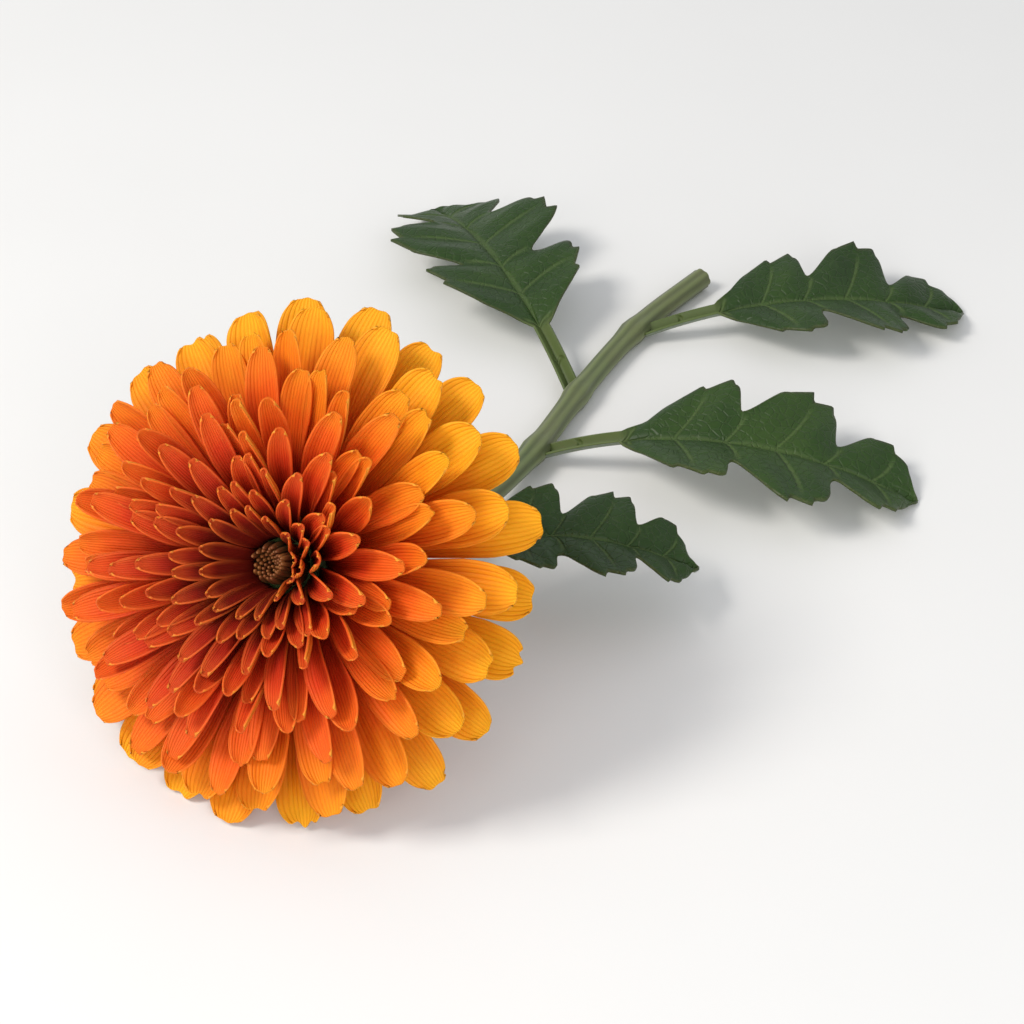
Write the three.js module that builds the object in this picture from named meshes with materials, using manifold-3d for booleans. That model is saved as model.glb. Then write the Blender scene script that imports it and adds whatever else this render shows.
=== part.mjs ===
// A cut garden chrysanthemum: one double flower head on a leafy stem, lying on a table.
//
// Units are millimetres and +Z is up. The stem runs back along +Y, the flower head faces -Y and a little
// upward, and the origin is the middle of the flower's box, on the surface that it lies on.
//
// The head is built in its own frame first, with its axis along +Z. There every petal follows a midrib, which
// is an arc in the plane through the axis, so a row of petals forms one shell and the rows nest without
// touching. Petals of the two outer rows are separate pieces. Each inner row is one piece, joined at its
// foot.

import * as THREE from "three";
import { mergeVertices } from "three/addons/utils/BufferGeometryUtils.js";
import Module from "manifold-3d";

const wasm = await Module();
wasm.setup();

// ---- driving dimensions ------------------------------------------------------------------------------

const HEAD_TILT = 35; // degrees that the head's axis rises above the table
const RECEPTACLE_RADIUS = 7.1; // the cushion that carries the petals
const RECEPTACLE_RISE = 3.6; // how far the cushion's middle stands above its rim
const OUTER_FOOT_RADIUS = 6.7; // where the outermost row is rooted
const INNER_FOOT_RADIUS = 2.6; // where the innermost row is rooted
const FOOT_LIFT = 0.75; // the middle of a petal's foot above the cushion
const RING_WIDTH = 0.26; // the band that joins the feet of an inner row
const RING_HEIGHT = 0.5;

// One entry for each row of petals, from the outside in. Leans are degrees from the head's axis, and so is
// press, which is how far the table bends the row's lowest petal. Cells are the slab's, across and along.
const ROWS = [
  { count: 23, length: 21.0, width: 5.5, leanFoot: 82, leanTip: 106, cup: 0.12, press: 28, cells: [2, 5] },
  { count: 21, length: 20.4, width: 5.4, leanFoot: 72, leanTip: 96, cup: 0.16, press: 20, cells: [2, 5] },
  { count: 26, length: 19.3, width: 4.0, leanFoot: 62, leanTip: 87, cup: 0.26, press: 11, cells: [2, 3] },
  { count: 27, length: 17.8, width: 3.3, leanFoot: 52, leanTip: 78, cup: 0.38, press: 5, cells: [2, 3] },
  { count: 27, length: 16.1, width: 2.8, leanFoot: 42, leanTip: 67, cup: 0.5, press: 0, cells: [2, 2] },
  { count: 25, length: 14.4, width: 2.4, leanFoot: 34, leanTip: 58, cup: 0.55, press: 0, cells: [2, 2] },
  { count: 22, length: 12.4, width: 2.1, leanFoot: 26, leanTip: 49, cup: 0.6, press: 0, cells: [1, 2] },
  { count: 18, length: 10.3, width: 1.8, leanFoot: 19, leanTip: 40, cup: 0.6, press: 0, cells: [1, 2] },
  { count: 14, length: 8.0, width: 1.6, leanFoot: 13, leanTip: 32, cup: 0.6, press: 0, cells: [1, 2] },
];
const SEPARATE_ROWS = 2; // rows whose petals are pieces of their own
const PRESS_SPREAD = 38; // degrees either side of the lowest petal that the table bends

const PETAL_THICKNESS = 0.42;
const FOOT_THICKNESS = 0.26;
const FOOT_WIDTH = 1.3; // a petal's foot, where the row leaves it this much room
const FOOT_SHARE = 0.72; // of the room that it has where the row is crowded
const PETAL_WIDEST = 0.7; // how far along a petal its widest place is
const TIP_NARROWING = 0.78; // 1 would bring the tip to a point
const STRAY = { outer: 0.3, inner: 2 }; // degrees sideways that a petal may stand from its place
const LEAN_SCATTER = 2.5; // degrees that a tip's lean may differ
const LENGTH_SCATTER = 0.03;

const HEART_RADIUS = 2.05; // the unopened florets in the middle
const HEART_HEIGHT = 1.9;
const HEART_GAP = 0.3; // between them and the cushion

const STEM_RADIUS = 1.45;
const STEM_LENGTH = 92; // along the table, from the head to the cut
const STEM_SIDES = 10;
const NECK_LENGTH = 4.5; // the flare between the stem and the cushion's rim

// Root is how far from the axis a row of bracts is rooted, and drop how far under the cushion's rim.
const BRACT_ROWS = [
  { name: "inner_bracts", count: 13, root: 6.4, drop: 1.55, length: 6, width: 2.5, leans: [52, 84] },
  { name: "outer_bracts", count: 11, root: 5.2, drop: 3.1, length: 6.4, width: 2.3, leans: [62, 98] },
];
const BRACT_THICKNESS = 0.4;
const BRACT_CUP = 0.12;
const BRACT_NARROWING = 0.72;
const BRACT_BAND = { halfWidth: 0.25, halfHeight: 0.275, slope: 0.075 };

// Leaves, from the head to the cut: where on the stem (0 to 1), which way the leaf points round from +Y to
// +X, its blade, stalk and half width, the slope at which it leaves the stem, and the slope that its tip
// droops to. A leaf with no droop of its own droops until it touches the table.
const LEAVES = [
  { name: "leaf_top", at: 0.2, heading: 62, blade: 26, stalk: 6, half: 6.6, rise: 24, droop: 30 },
  { name: "leaf_left", at: 0.33, heading: -74, blade: 32, stalk: 8, half: 8.2, rise: 14 },
  { name: "leaf_right", at: 0.52, heading: 70, blade: 37, stalk: 9, half: 9.4, rise: 24 },
  { name: "leaf_back", at: 0.66, heading: -52, blade: 40, stalk: 10, half: 10.2, rise: 22 },
  { name: "leaf_low", at: 0.83, heading: 52, blade: 34, stalk: 9, half: 9.0, rise: 18 },
];
const LEAF_THICKNESS = 0.6;
const LEAF_GAP = 0.6; // between the stem's surface and a leaf stalk's middle
const LEAF_FOLD = 0.16; // how steeply the blade's halves rise from the midrib
const STALK_HALF_WIDTH = 0.9;
const LOBES = 3; // pairs of side lobes
const FIRST_LOBE = 0.17; // how far along the blade the first pair is
const LOBE_DEPTH = 0.26; // a bay is cut in by twice this share of the half width
const VEIN_SLANT = 52; // degrees between a side vein and the midrib
const VEIN_REACH = 0.6; // how far toward the tip a side vein carries the edge
const BLADE_SPREAD = 1.15;

// ---- small helpers -----------------------------------------------------------------------------------

const degrees = THREE.MathUtils.degToRad;
const mix = THREE.MathUtils.lerp;
const clamp01 = (x) => THREE.MathUtils.clamp(x, 0, 1);
const upTo = (count) => [...Array(count).keys()];

// What a scatter is for: each kind follows a sequence of its own.
const KIND = { stray: 0, lean: 1, length: 2 };

// An even, repeatable scatter between -1 and 1 for petal `i` of row `row`.
function scatter(i, row, kind) {
  const x = (i + 1) * 0.7548776662 + (row + 1) * 0.5698402910 + (kind + 1) * 0.4142135624;
  return 2 * (x - Math.floor(x)) - 1;
}

// A point on an arc that starts at lean `a`, ends at lean `b` and is `length` long.
function arcPoint(v, length, a, b) {
  const turn = b - a;
  const lean = a + turn * v;
  return {
    out: (length * (Math.cos(a) - Math.cos(lean))) / turn,
    up: (length * (Math.sin(lean) - Math.sin(a))) / turn,
    lean,
  };
}

// A closed slab of across x along cells, each vertex moved to place(u, v, side), with u from -1 to 1 across,
// v from 0 to 1 along, and side -0.5 underneath and 0.5 on top.
function bentSlab(across, along, place) {
  const box = new THREE.BoxGeometry(2, 1, 1, across, along, 1);
  box.deleteAttribute("normal");
  box.deleteAttribute("uv");
  const slab = mergeVertices(box, 1e-6);
  const position = slab.getAttribute("position");
  for (let i = 0; i < position.count; i++) {
    const p = place(position.getX(i), position.getY(i) + 0.5, position.getZ(i));
    position.setXYZ(i, p.x, p.y, p.z);
  }
  return slab;
}

function solidOf(geometry) {
  const bare = geometry.clone();
  bare.deleteAttribute("normal");
  bare.deleteAttribute("uv");
  const merged = mergeVertices(bare, 1e-5);
  return new wasm.Manifold(
    new wasm.Mesh({
      numProp: 3,
      vertProperties: new Float32Array(merged.attributes.position.array),
      triVerts: new Uint32Array(merged.index.array),
    }),
  );
}

function geometryOf(solid) {
  const mesh = solid.getMesh();
  const points = new Float32Array(mesh.numVert * 3);
  for (let i = 0; i < mesh.numVert; i++) {
    const first = i * mesh.numProp;
    points.set(mesh.vertProperties.subarray(first, first + 3), i * 3);
  }
  const geometry = new THREE.BufferGeometry();
  geometry.setAttribute("position", new THREE.BufferAttribute(points, 3));
  geometry.setIndex(new THREE.BufferAttribute(mesh.triVerts, 1));
  geometry.computeVertexNormals();
  return geometry;
}

// One closed body from several that run into each other. Simplifying drops the slivers that a union leaves.
function joined(geometries) {
  const sliver = 0.03;
  return geometryOf(wasm.Manifold.union(geometries.map(solidOf)).simplify(sliver));
}

// A LatheGeometry turns about Y, so it is stood up to turn about Z.
function latheAboutZ(profile, segments) {
  return new THREE.LatheGeometry(profile, segments).rotateX(Math.PI / 2);
}

function piece(name, geometry, material) {
  const mesh = new THREE.Mesh(geometry, material);
  mesh.name = name;
  return mesh;
}

// ---- materials ---------------------------------------------------------------------------------------

const green = new THREE.MeshStandardMaterial({ color: 0x3f5a24, roughness: 0.6, metalness: 0 });
const leafGreen = new THREE.MeshStandardMaterial({ color: 0x2c4a1f, roughness: 0.55, metalness: 0 });
const heartBrown = new THREE.MeshStandardMaterial({ color: 0x5a2410, roughness: 0.7, metalness: 0 });

// Petals run from gold outside to deep red in the middle.
function petalMaterial(row) {
  const gold = new THREE.Color(0xf09a22);
  const red = new THREE.Color(0xb5300f);
  return new THREE.MeshStandardMaterial({
    color: gold.lerp(red, row / (ROWS.length - 1)),
    roughness: 0.5,
    metalness: 0,
  });
}

// ---- petals ------------------------------------------------------------------------------------------

const cushionHeight = (r) => RECEPTACLE_RISE * (1 - (r / RECEPTACLE_RADIUS) ** 2);
const footRadius = (row) => mix(OUTER_FOOT_RADIUS, INNER_FOOT_RADIUS, row / (ROWS.length - 1));
const footHeight = (row) => cushionHeight(footRadius(row)) + FOOT_LIFT;

// Half the petal's width at v: a narrow foot, widest at about three quarters, and a blunt tip.
function petalHalfWidth(v, width, foot) {
  if (v < PETAL_WIDEST) {
    return mix(foot, width, (v / PETAL_WIDEST) ** 1.1) / 2;
  }
  const past = (v - PETAL_WIDEST) / (1 - PETAL_WIDEST);
  return (width * Math.sqrt(1 - TIP_NARROWING * past ** 2.6)) / 2;
}

// Petal `i` of a row, in the head's frame.
function petal(row, i) {
  const { count, length, width, leanFoot, leanTip, cup, press, cells } = ROWS[row];
  const stray = (row < SEPARATE_ROWS ? STRAY.outer : STRAY.inner) * scatter(i, row, KIND.stray);
  const turnToPetal = (360 / count) * (i + 0.5 * (row % 2) + 0.5) + stray; // from the lowest place
  const fromLowest = turnToPetal > 180 ? turnToPetal - 360 : turnToPetal;
  const pressed = press * Math.exp(-((fromLowest / PRESS_SPREAD) ** 2));
  const a = degrees(leanFoot - 0.25 * pressed);
  const b = degrees(leanTip - pressed + LEAN_SCATTER * scatter(i, row, KIND.lean));
  const long = length * (1 + LENGTH_SCATTER * scatter(i, row, KIND.length));
  const r0 = footRadius(row);
  const foot = Math.min((FOOT_SHARE * 2 * Math.PI * r0) / count, FOOT_WIDTH);
  const azimuth = degrees(turnToPetal - 90);
  const radial = new THREE.Vector3(Math.cos(azimuth), Math.sin(azimuth), 0);
  const side = new THREE.Vector3(radial.y, -radial.x, 0);

  return bentSlab(...cells, (u, v, face) => {
    const at = arcPoint(v, long, a, b);
    const half = petalHalfWidth(v, width, foot);
    const thickness = mix(FOOT_THICKNESS, PETAL_THICKNESS, clamp01(3 * v));
    const lift = cup * half * u * u * clamp01(4 * v) + face * thickness;
    const point = radial.clone().multiplyScalar(r0 + at.out - lift * Math.cos(at.lean));
    point.addScaledVector(side, u * half);
    point.z = footHeight(row) + at.up + lift * Math.sin(at.lean);
    return point;
  });
}

// The band on the cushion that joins an inner row's feet.
function footRing(row) {
  const r = footRadius(row);
  const z = footHeight(row);
  const section = [
    new THREE.Vector2(r - RING_WIDTH / 2, z - RING_HEIGHT / 2),
    new THREE.Vector2(r + RING_WIDTH / 2, z - RING_HEIGHT / 2),
    new THREE.Vector2(r + RING_WIDTH / 2, z + RING_HEIGHT / 2),
    new THREE.Vector2(r - RING_WIDTH / 2, z + RING_HEIGHT / 2),
  ];
  section.push(section[0].clone());
  return latheAboutZ(section, ROWS[row].count);
}

// The pieces of one row: a piece for each petal in the outer rows, and one piece in an inner row.
function petalRow(row) {
  const indices = upTo(ROWS[row].count);
  if (row >= SEPARATE_ROWS) {
    const whorl = joined([footRing(row), ...indices.map((i) => petal(row, i))]);
    return [piece(`petal_row_${row + 1}`, whorl, petalMaterial(row))];
  }
  const rowName = ["outer_petal", "second_petal"][row];
  return indices.map((i) => {
    const label = String(i + 1).padStart(2, "0");
    return piece(`${rowName}_${label}`, petal(row, i), petalMaterial(row));
  });
}

// ---- the middle and the bracts -----------------------------------------------------------------------

// The unopened florets, as one low dome with an upright edge.
function heart() {
  const foot = cushionHeight(0) + HEART_GAP;
  const edge = foot + 0.4;
  const steps = 4;
  const profile = [new THREE.Vector2(0, foot), new THREE.Vector2(HEART_RADIUS, foot)];
  for (const step of upTo(steps)) {
    const turn = (step / steps) * (Math.PI / 2);
    profile.push(new THREE.Vector2(HEART_RADIUS * Math.cos(turn), edge + HEART_HEIGHT * Math.sin(turn)));
  }
  profile.push(new THREE.Vector2(0, edge + HEART_HEIGHT));
  return piece("heart", latheAboutZ(profile, 14), heartBrown);
}

// A row of small green bracts under the head, joined at the foot.
function bracts({ name, count, root, drop, length, width, leans }) {
  const { halfWidth, halfHeight, slope } = BRACT_BAND;
  const [a, b] = leans.map(degrees);
  const band = [
    new THREE.Vector2(root - halfWidth, -drop - slope - halfHeight),
    new THREE.Vector2(root + halfWidth, -drop + slope - halfHeight),
    new THREE.Vector2(root + halfWidth, -drop + slope + halfHeight),
    new THREE.Vector2(root - halfWidth, -drop - slope + halfHeight),
  ];
  band.push(band[0].clone());

  const bract = (i) => {
    const azimuth = degrees((360 / count) * i);
    const radial = new THREE.Vector3(Math.cos(azimuth), Math.sin(azimuth), 0);
    const side = new THREE.Vector3(radial.y, -radial.x, 0);
    return bentSlab(1, 2, (u, v, face) => {
      const at = arcPoint(v, length, a, b);
      const half = (width / 2) * (1 - BRACT_NARROWING * v * v);
      const lift = BRACT_CUP * half * u * u + face * BRACT_THICKNESS;
      const point = radial.clone().multiplyScalar(root + at.out - lift * Math.cos(at.lean));
      point.addScaledVector(side, u * half);
      point.z = -drop + at.up + lift * Math.sin(at.lean);
      return point;
    });
  };
  return piece(name, joined([latheAboutZ(band, count), ...upTo(count).map(bract)]), green);
}

// ---- stem and leaves ---------------------------------------------------------------------------------

// The cushion under the petals, and the flare that runs down into the stem, in the head's frame.
function receptacle() {
  const profile = [
    new THREE.Vector2(0, -NECK_LENGTH - 1),
    new THREE.Vector2(STEM_RADIUS, -NECK_LENGTH - 1),
    new THREE.Vector2(STEM_RADIUS * 1.15, -NECK_LENGTH),
    new THREE.Vector2(RECEPTACLE_RADIUS * 0.5, -2.6),
    new THREE.Vector2(RECEPTACLE_RADIUS * 0.72, -1.7),
    new THREE.Vector2(RECEPTACLE_RADIUS * 0.8, -0.5),
  ];
  for (const share of [0.95, 0.75, 0.5, 0.25, 0]) {
    const r = RECEPTACLE_RADIUS * share;
    profile.push(new THREE.Vector2(r, cushionHeight(r)));
  }
  return latheAboutZ(profile, 20);
}

// The stem's line: straight out of the head, then a long bend down to the table.
function stemCurve(neck, backward) {
  const lie = STEM_RADIUS + 0.05;
  const behind = (distance) => neck.clone().addScaledVector(backward, distance);
  const onTable = (share, sway, height) => new THREE.Vector3(sway, neck.y + STEM_LENGTH * share, height);
  const points = [
    behind(-1.5),
    behind(4),
    behind(12).add(new THREE.Vector3(0.3, 0, 0)),
    onTable(0.3, 1.0, mix(lie, neck.z, 0.2)),
    onTable(0.48, 0.6, lie + 0.7),
    onTable(0.66, -1.2, lie),
    onTable(0.84, -1.6, lie),
    onTable(1, 0.4, lie),
  ];
  return new THREE.CatmullRomCurve3(points, false, "centripetal");
}

function stem(curve, headMatrix) {
  const ring = upTo(STEM_SIDES).map((i) => {
    const turn = (2 * Math.PI * i) / STEM_SIDES;
    return new THREE.Vector2(STEM_RADIUS * Math.cos(turn), STEM_RADIUS * Math.sin(turn));
  });
  const tube = new THREE.ExtrudeGeometry(new THREE.Shape(ring), { steps: 24, extrudePath: curve });
  return piece("stem", joined([tube, receptacle().applyMatrix4(headMatrix)]), green);
}

// Half the blade's width along a side vein at v: lobes under a pointed outline.
function leafHalfWidth(v, half) {
  const outline = Math.sin(Math.PI * clamp01(v) ** 0.75) ** 0.7;
  const lobe = 1 - LOBE_DEPTH + LOBE_DEPTH * Math.cos(2 * Math.PI * LOBES * (v - FIRST_LOBE));
  return half * 1.25 * outline * lobe;
}

// A leaf with its stalk, growing from `root` on the stem, whose tip points `droop` degrees below the level.
function leafGeometry({ heading, blade, stalk, half, rise }, root, droop) {
  const forward = new THREE.Vector3(Math.sin(degrees(heading)), Math.cos(degrees(heading)), 0);
  const side = new THREE.Vector3(forward.y, -forward.x, 0);
  const long = stalk + blade;
  const stalkShare = stalk / long;
  const slant = degrees(VEIN_SLANT);
  const start = root.clone().addScaledVector(forward, (STEM_RADIUS + LEAF_GAP) / Math.abs(forward.x));

  return bentSlab(4, 17, (u, v, face) => {
    const onBlade = (v - stalkShare) / (1 - stalkShare);
    const bladed = onBlade > 0;
    const bladeHalf = bladed ? leafHalfWidth(onBlade, half) : 0;
    const across = STALK_HALF_WIDTH * clamp01(1.4 - v) + bladeHalf;
    const slide = bladeHalf * Math.abs(u) * Math.cos(slant) * VEIN_REACH;
    const at = arcPoint(v + slide / long, long, degrees(90 - rise), degrees(90 + droop));
    const thickness = bladed ? LEAF_THICKNESS : LEAF_THICKNESS * 2;
    const fold = LEAF_FOLD * across * Math.abs(u) + face * thickness;
    const point = start.clone().addScaledVector(forward, at.out - fold * Math.cos(at.lean));
    point.addScaledVector(side, u * across * (bladed ? Math.sin(slant) * BLADE_SPREAD : 1));
    point.z += at.up + fold * Math.sin(at.lean);
    return point;
  });
}

// The droop at which a leaf just touches the table, found by halving.
function restingDroop(entry, root) {
  let least = 0;
  let most = 85;
  for (let step = 0; step < 16; step++) {
    const droop = (least + most) / 2;
    const geometry = leafGeometry(entry, root, droop);
    geometry.computeBoundingBox();
    if (geometry.boundingBox.min.z > 0) {
      least = droop;
    } else {
      most = droop;
    }
  }
  return least;
}

function leaf(entry, root) {
  const droop = entry.droop ?? restingDroop(entry, root);
  return piece(entry.name, leafGeometry(entry, root, droop), leafGreen);
}

// ---- assembly ----------------------------------------------------------------------------------------

const head = new THREE.Group();
head.add(...upTo(ROWS.length).flatMap(petalRow), heart(), ...BRACT_ROWS.map(bracts));
head.rotation.x = degrees(90 - HEAD_TILT);
head.updateMatrixWorld(true);
head.position.z = -new THREE.Box3().setFromObject(head, true).min.z;
head.updateMatrixWorld(true);

const backward = new THREE.Vector3(0, 0, -1).transformDirection(head.matrixWorld);
const neck = new THREE.Vector3(0, 0, -NECK_LENGTH).applyMatrix4(head.matrixWorld);
const line = stemCurve(neck, backward);

const chrysanthemum = new THREE.Group();
chrysanthemum.add(head, stem(line, head.matrixWorld));
for (const entry of LEAVES) {
  chrysanthemum.add(leaf(entry, line.getPointAt(entry.at)));
}

// The origin goes to the middle of the box, on the table.
const box = new THREE.Box3().setFromObject(chrysanthemum, true);
const middle = box.getCenter(new THREE.Vector3());
chrysanthemum.position.set(-middle.x, -middle.y, -box.min.z);

export default chrysanthemum;
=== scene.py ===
# %% [markdown]
# # A cut chrysanthemum
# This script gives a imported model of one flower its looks. The flower head is a shallow dome of about 200
# ray petals in nine rows, on a ribbed green stem with five lobed leaves, and it lies on a table. The
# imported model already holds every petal, leaf and stem as a plain solid at its real size and place, so
# this script makes a fine piece over each one, and never moves one. Lengths in the tables below are
# millimetres, and MM turns them into Blender's metres.

# %% The frame
import math
from typing import NamedTuple

import bmesh
import bpy
from mathutils import Matrix, Vector


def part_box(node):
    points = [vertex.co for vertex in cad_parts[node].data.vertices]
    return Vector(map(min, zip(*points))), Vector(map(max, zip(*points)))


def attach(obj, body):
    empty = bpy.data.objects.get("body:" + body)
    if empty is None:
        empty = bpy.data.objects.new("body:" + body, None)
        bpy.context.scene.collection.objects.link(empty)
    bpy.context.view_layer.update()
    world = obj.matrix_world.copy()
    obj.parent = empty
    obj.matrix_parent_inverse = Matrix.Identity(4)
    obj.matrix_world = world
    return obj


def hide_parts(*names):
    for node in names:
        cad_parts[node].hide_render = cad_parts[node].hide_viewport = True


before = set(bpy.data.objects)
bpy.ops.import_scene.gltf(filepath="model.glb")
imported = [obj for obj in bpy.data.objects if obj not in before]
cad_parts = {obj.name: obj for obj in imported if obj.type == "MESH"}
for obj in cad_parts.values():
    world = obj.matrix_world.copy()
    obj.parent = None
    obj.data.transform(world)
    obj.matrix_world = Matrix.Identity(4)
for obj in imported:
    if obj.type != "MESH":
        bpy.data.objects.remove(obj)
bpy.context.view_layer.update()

MM = 0.001
print("nodes in the frame:", len(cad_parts))

# %% [markdown]
# ## Where the head sits
# The head's axis rises 35 degrees from the table and points towards -Y. Everything in the head is easiest
# to describe with that axis as Z, so the head gets a frame of its own. Its origin could be typed in, but
# it is safer to measure it: the solid for the heart is a body of revolution about the axis, so the middle
# of its box, seen along the axis, is on the axis, and its flat foot is a known height above the origin.

# %% The head's own frame
HEAD_TILT = math.radians(35)
RECEPTACLE_RADIUS = 7.1
RECEPTACLE_RISE = 3.6
HEART_FOOT = RECEPTACLE_RISE + 0.3

turn_head = Matrix.Rotation(math.radians(90) - HEAD_TILT, 4, "X")
back_turn = turn_head.inverted()
heart_points = [back_turn @ v.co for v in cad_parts["heart"].data.vertices]


def middle(values):
    return (min(values) + max(values)) / 2


head_origin = turn_head @ Vector((
    middle([p.x for p in heart_points]),
    middle([p.y for p in heart_points]),
    min(p.z for p in heart_points) - HEART_FOOT * MM,
))
head_matrix = Matrix.Translation(head_origin) @ turn_head @ Matrix.Scale(MM, 4)
print("head origin in mm:", [round(x / MM, 2) for x in head_origin])

# %% [markdown]
# ## Arithmetic for materials
# A material's patterns are sums of sockets. Written as nodes and links they fill pages, so one small
# class wraps a socket and lets Python's own operators add the Math nodes. A second class holds the
# material and has one method that adds any other node: its type, its settings, and then its sockets.

# %% A socket that can be added, multiplied and mixed
class Wire:
    """One output socket. Arithmetic on it adds Math nodes to its material."""

    def __init__(self, finish, socket):
        self.finish = finish
        self.socket = socket

    def math(self, operation, *operands):
        inputs = dict(enumerate(operands))
        return self.finish.add("Math", {"operation": operation}, inputs)

    def __add__(self, other):
        return self.math("ADD", self, other)

    def __radd__(self, other):
        return self.math("ADD", other, self)

    def __sub__(self, other):
        return self.math("SUBTRACT", self, other)

    def __rsub__(self, other):
        return self.math("SUBTRACT", other, self)

    def __mul__(self, other):
        return self.math("MULTIPLY", self, other)

    def __rmul__(self, other):
        return self.math("MULTIPLY", other, self)

    def __pow__(self, other):
        return self.math("POWER", self, other)

    def __abs__(self):
        return self.math("ABSOLUTE", self)

    def sine(self):
        return self.math("SINE", self)

    def cosine(self):
        return self.math("COSINE", self)

    def higher(self, other):
        return self.math("MAXIMUM", self, other)

    def fraction(self):
        return self.math("FRACT", self)

    def clamped(self):
        return self.finish.add("Clamp", {}, {"Value": self})

    def between(self, low, high):
        """0 below low, 1 above high, smooth in between."""
        settings = {"interpolation_type": "SMOOTHSTEP"}
        return self.finish.add("MapRange", settings, {"Value": self, "From Min": low, "From Max": high})


class Finish:
    """A material under construction."""

    def __init__(self, name):
        self.material = bpy.data.materials.new(name)
        self.material.use_nodes = True
        self.tree = self.material.node_tree
        self.tree.nodes.clear()

    def add(self, kind, settings, inputs, output=0):
        node = self.tree.nodes.new("ShaderNode" + kind)
        for name, value in settings.items():
            if name == "stops":
                self.set_stops(node.color_ramp, value)
            else:
                setattr(node, name, value)
        for name, value in inputs.items():
            if isinstance(value, Wire):
                self.tree.links.new(value.socket, node.inputs[name])
            else:
                node.inputs[name].default_value = value
        return Wire(self, node.outputs[output]) if node.outputs else None

    def set_stops(self, ramp, stops):
        while len(ramp.elements) < len(stops):
            ramp.elements.new(1.0)
        for element, (position, colour) in zip(ramp.elements, stops):
            element.position = position
            element.color = (*colour, 1.0)

    def attribute(self, name):
        return self.add("Attribute", {"attribute_name": name}, {}, "Fac")

    def place(self):
        return self.add("TexCoord", {}, {}, "Object")

    def noise(self, scale, detail=3.0, vector=None):
        inputs = {"Vector": vector or self.place(), "Scale": scale, "Detail": detail}
        return self.add("TexNoise", {}, inputs, 0)

    def ramp(self, value, stops):
        return self.add("ValToRGB", {"stops": stops}, {"Fac": value}, "Color")

    def mix(self, factor, first, second, blend="MIX"):
        settings = {"data_type": "RGBA", "blend_type": blend}
        inputs = {0: factor, 6: self.rgba(first), 7: self.rgba(second)}
        return self.add("Mix", settings, inputs, 2)

    def rgba(self, colour):
        return colour if isinstance(colour, Wire) else (*colour, 1.0)

    def bump(self, height, distance, strength=1.0):
        inputs = {"Height": height, "Distance": distance, "Strength": strength}
        return self.add("Bump", {}, inputs, "Normal")

    def surface(self, **sockets):
        """Ends the material with a Principled shader. An underscore in a name stands for a space."""
        inputs = {name.replace("_", " "): value for name, value in sockets.items()}
        shader = self.add("BsdfPrincipled", {}, inputs)
        self.add("OutputMaterial", {}, {"Surface": shader})
        return self.material


print("material helpers ready")

# %% [markdown]
# ## The petals' colour
# A petal of this flower isn't one colour. Its face is deep red where it comes out of the pit, red-orange
# along its channel and gold at its blunt tip, and each row further out is more golden. The raised rims,
# and the tips of the inner rows, are painted paler as a highlight, and a dozen fine veins run the whole
# length. An image could hold that, but the colour follows the petal, so it is worked out from four numbers
# stored on every vertex: how far across and along the petal it is, how deep in the head the petal's row
# lies, and a tone that differs from petal to petal and also holds painted light, which makes one side of
# the head lighter and more golden.

# %% The petal's two finishes
DEEP = (0.190, 0.010, 0.004)
DARK_RED = (0.400, 0.018, 0.005)
RED_ORANGE = (0.630, 0.042, 0.006)
ORANGE = (0.790, 0.105, 0.006)
GOLD = (0.860, 0.225, 0.006)
GOLDEN_YELLOW = (0.930, 0.380, 0.008)
# A paler colour for the painted highlight on the petals' rims and on the tips of the inner rows.
PAINTED_RIM_HIGHLIGHT = (0.900, 0.200, 0.030)
PETAL_GLOW = (1.0, 0.28, 0.06)


def veins(finish, across, lines):
    """Fine lines that run the length of a petal, 0 between them and 1 on them."""
    wave = (across * (math.pi * lines)).sine()
    return (wave * 0.5 + 0.5) ** 3.0


def petal_face():
    finish = Finish("petal_face")
    across = finish.attribute("across")
    along = finish.attribute("along")
    depth = finish.attribute("depth")
    tone = finish.attribute("tone")
    mottle = finish.noise(420.0) - 0.5
    streak = veins(finish, across, 11)
    # Through the tone, one side of the head is also painted lighter and more golden, as painted light.
    warmth = 0.36 + along * 0.70 - depth * 0.83 + tone * 0.11 + mottle * 0.16
    stops = [
        (0.0, DEEP),
        (0.18, DARK_RED),
        (0.42, RED_ORANGE),
        (0.62, ORANGE),
        (0.82, GOLD),
        (1.0, GOLDEN_YELLOW),
    ]
    body = finish.ramp(warmth, stops)
    # Painted highlight: the raised rims, and the tips of the inner rows, are mixed towards a paler colour
    # as if they caught the light.
    rim = abs(across).between(0.35, 1.1) * along.between(0.2, 0.9)
    tip = along.between(0.72, 1.05)
    rimmed = finish.mix(rim * (0.10 + depth * 0.24) + tip * depth * 0.35, body, PAINTED_RIM_HIGHLIGHT)
    veined = finish.mix(streak * 0.16, rimmed, finish.mix(1.0, rimmed, (0.62, 0.42, 0.4), "MULTIPLY"))
    height = streak * -0.5 + mottle * 0.35
    return finish.surface(
        Base_Color=veined,
        Roughness=0.56,
        Specular_IOR_Level=0.16,
        Subsurface_Weight=0.18,
        Subsurface_Radius=PETAL_GLOW,
        Subsurface_Scale=0.0012,
        Normal=finish.bump(height, 0.00012),
    )


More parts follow.
